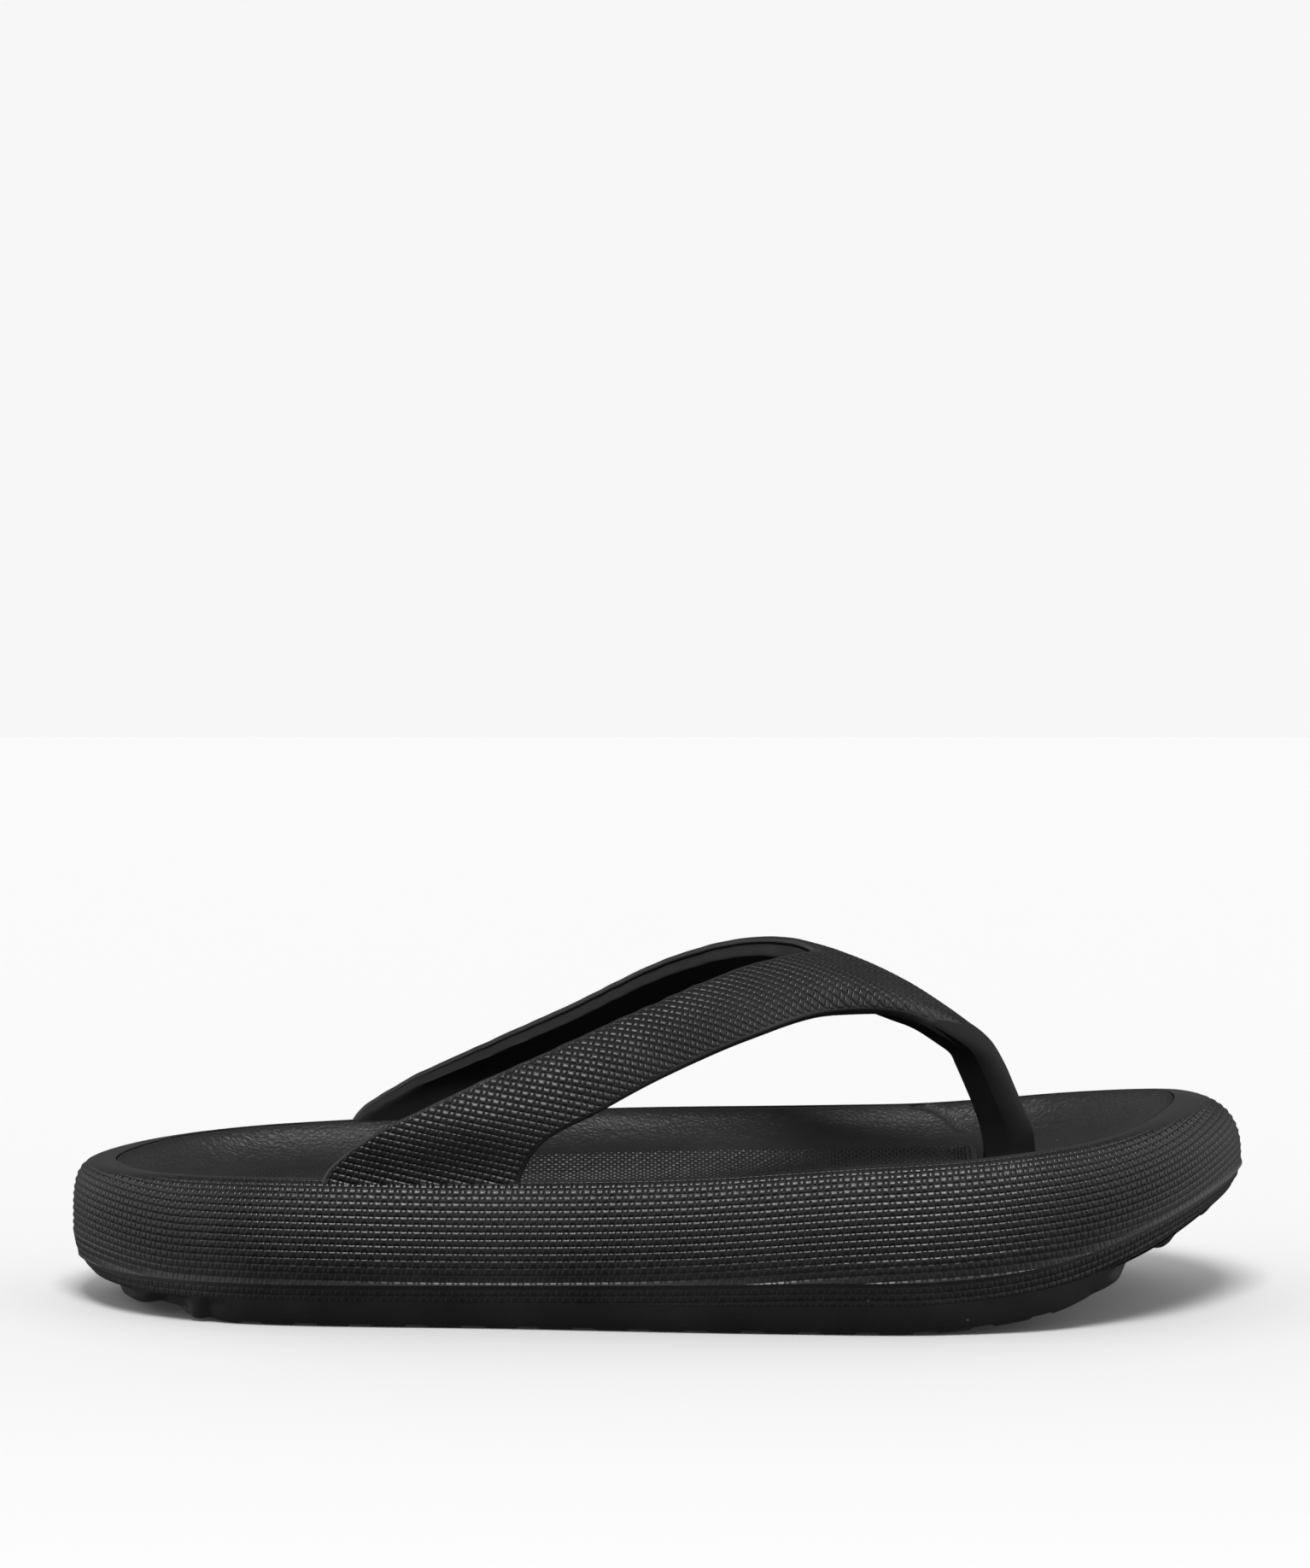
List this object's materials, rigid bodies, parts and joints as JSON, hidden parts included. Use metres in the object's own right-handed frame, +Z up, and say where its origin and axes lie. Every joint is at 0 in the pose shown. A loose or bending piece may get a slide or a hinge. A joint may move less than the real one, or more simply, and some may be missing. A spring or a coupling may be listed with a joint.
{
  "type": "flip flop",
  "caption": "Thick foam flip flop for a right foot: woven-texture sidewall, dished footbed, wide Y-shaped strap and a toe post.",
  "frame": {"origin": "bottom centre of the bounding box, on the ground plane under the middle of the sole", "axes": "+X towards the toe along the sole's length, +Y towards the inner side of the foot, +Z up from the ground"},
  "size_m": [0.2648, 0.104, 0.0796],
  "materials": {
    "outsole_foam": "matt, smooth",
    "midsole_foam": "satin, plain-weave relief",
    "footbed_foam": "satin, leather-like grain",
    "inlay_foam": "matt, fine woven relief",
    "strap_skin": "satin, plain-weave relief",
    "strap_lining": "satin, smooth",
    "anchor_nylon": "matt"
  },
  "bodies": {
    "root": {"outsole": "outsole_foam", "lower_midsole": "midsole_foam", "upper_midsole": "midsole_foam", "footbed": "footbed_foam", "footbed_inlay": "inlay_foam", "strap_outer": "strap_skin", "strap_lining": "strap_lining", "toe_post": "strap_lining", "toe_post_washer": "anchor_nylon", "lateral_anchor": "anchor_nylon", "medial_anchor": "anchor_nylon"}
  },
  "joints": []
}
